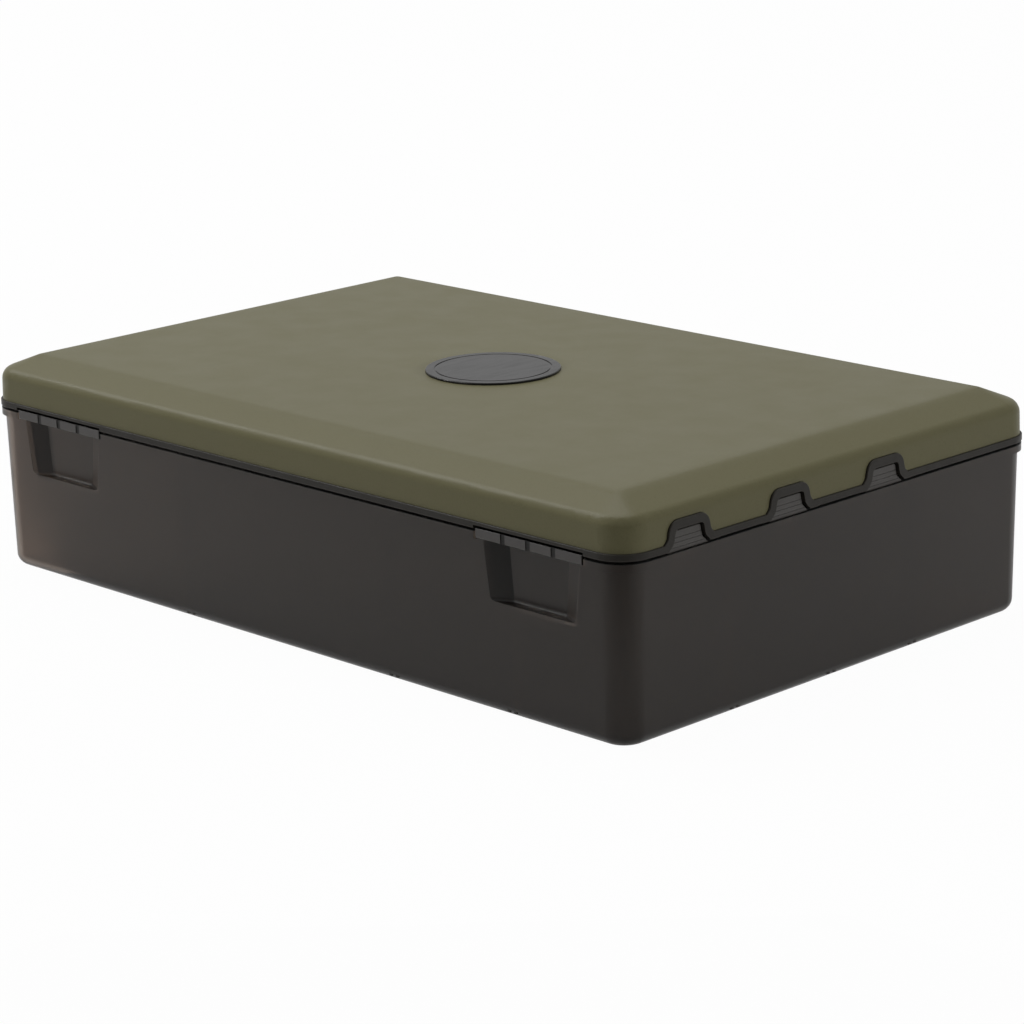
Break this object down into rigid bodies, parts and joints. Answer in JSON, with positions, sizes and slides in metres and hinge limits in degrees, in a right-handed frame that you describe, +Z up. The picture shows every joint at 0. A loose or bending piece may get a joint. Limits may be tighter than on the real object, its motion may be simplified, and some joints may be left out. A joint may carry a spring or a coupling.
{
  "type": "tackle box",
  "caption": "Flat rectangular tackle box with a smoked see-through tub, loose dividers, line guides over its spool bays, and a hinged olive lid held by snap latches over finger scoops.",
  "frame": {"origin": "middle of the tub's flat underside", "axes": "+X to the right along the front, +Y to the back where the hinges are, +Z up"},
  "size_m": [0.3516, 0.2315, 0.0879],
  "materials": {
    "smoked_plastic": "smoked see-through moulded plastic with a satin gloss",
    "divider_plastic": "smoked see-through moulded plastic",
    "olive_plastic": "matt olive green with a fine moulded texture",
    "rim_plastic": "dark smoked plastic, satin",
    "latch_plastic": "lighter smoked plastic with ribs",
    "guide_plastic": "grey flexible plastic with fine ridges",
    "badge_plastic": "plain glossy grey disc",
    "pin_steel": "plain drawn wire"
  },
  "bodies": {
    "base": {"base_tray": "smoked_plastic", "line_guide_front": "guide_plastic", "line_guide_middle": "guide_plastic", "line_guide_rear": "guide_plastic", "hinge_pin_left": "pin_steel", "hinge_pin_right": "pin_steel", "rear_partition": "divider_plastic", "column_divider_left": "divider_plastic", "column_divider_right": "divider_plastic", "rear_divider_left": "divider_plastic", "rear_divider_right": "divider_plastic", "spool_bay_wall": "divider_plastic", "spool_divider_front": "divider_plastic", "spool_divider_rear": "divider_plastic", "cross_divider_left": "divider_plastic", "cross_divider_middle": "divider_plastic"},
    "lid": {"lid_cover": "olive_plastic", "lid_rim": "rim_plastic", "lid_badge": "badge_plastic", "latch_pin_left": "pin_steel", "latch_pin_right": "pin_steel"},
    "latch_left": {"latch_left": "latch_plastic"},
    "latch_right": {"latch_right": "latch_plastic"}
  },
  "joints": [
    {"name": "lid_hinge", "type": "hinge", "parent": "base", "child": "lid", "pos_m": [0, 0.116, 0.067], "axis": [-1, 0, 0], "range_deg": [0, 110]},
    {"name": "latch_left_pivot", "type": "hinge", "parent": "lid", "child": "latch_left", "pos_m": [-0.1305, -0.1066, 0.075], "axis": [-1, 0, 0], "range_deg": [0, 9], "stiffness_Nm_per_rad": 0.03},
    {"name": "latch_right_pivot", "type": "hinge", "parent": "lid", "child": "latch_right", "pos_m": [0.1305, -0.1066, 0.075], "axis": [-1, 0, 0], "range_deg": [0, 9], "stiffness_Nm_per_rad": 0.03}
  ]
}
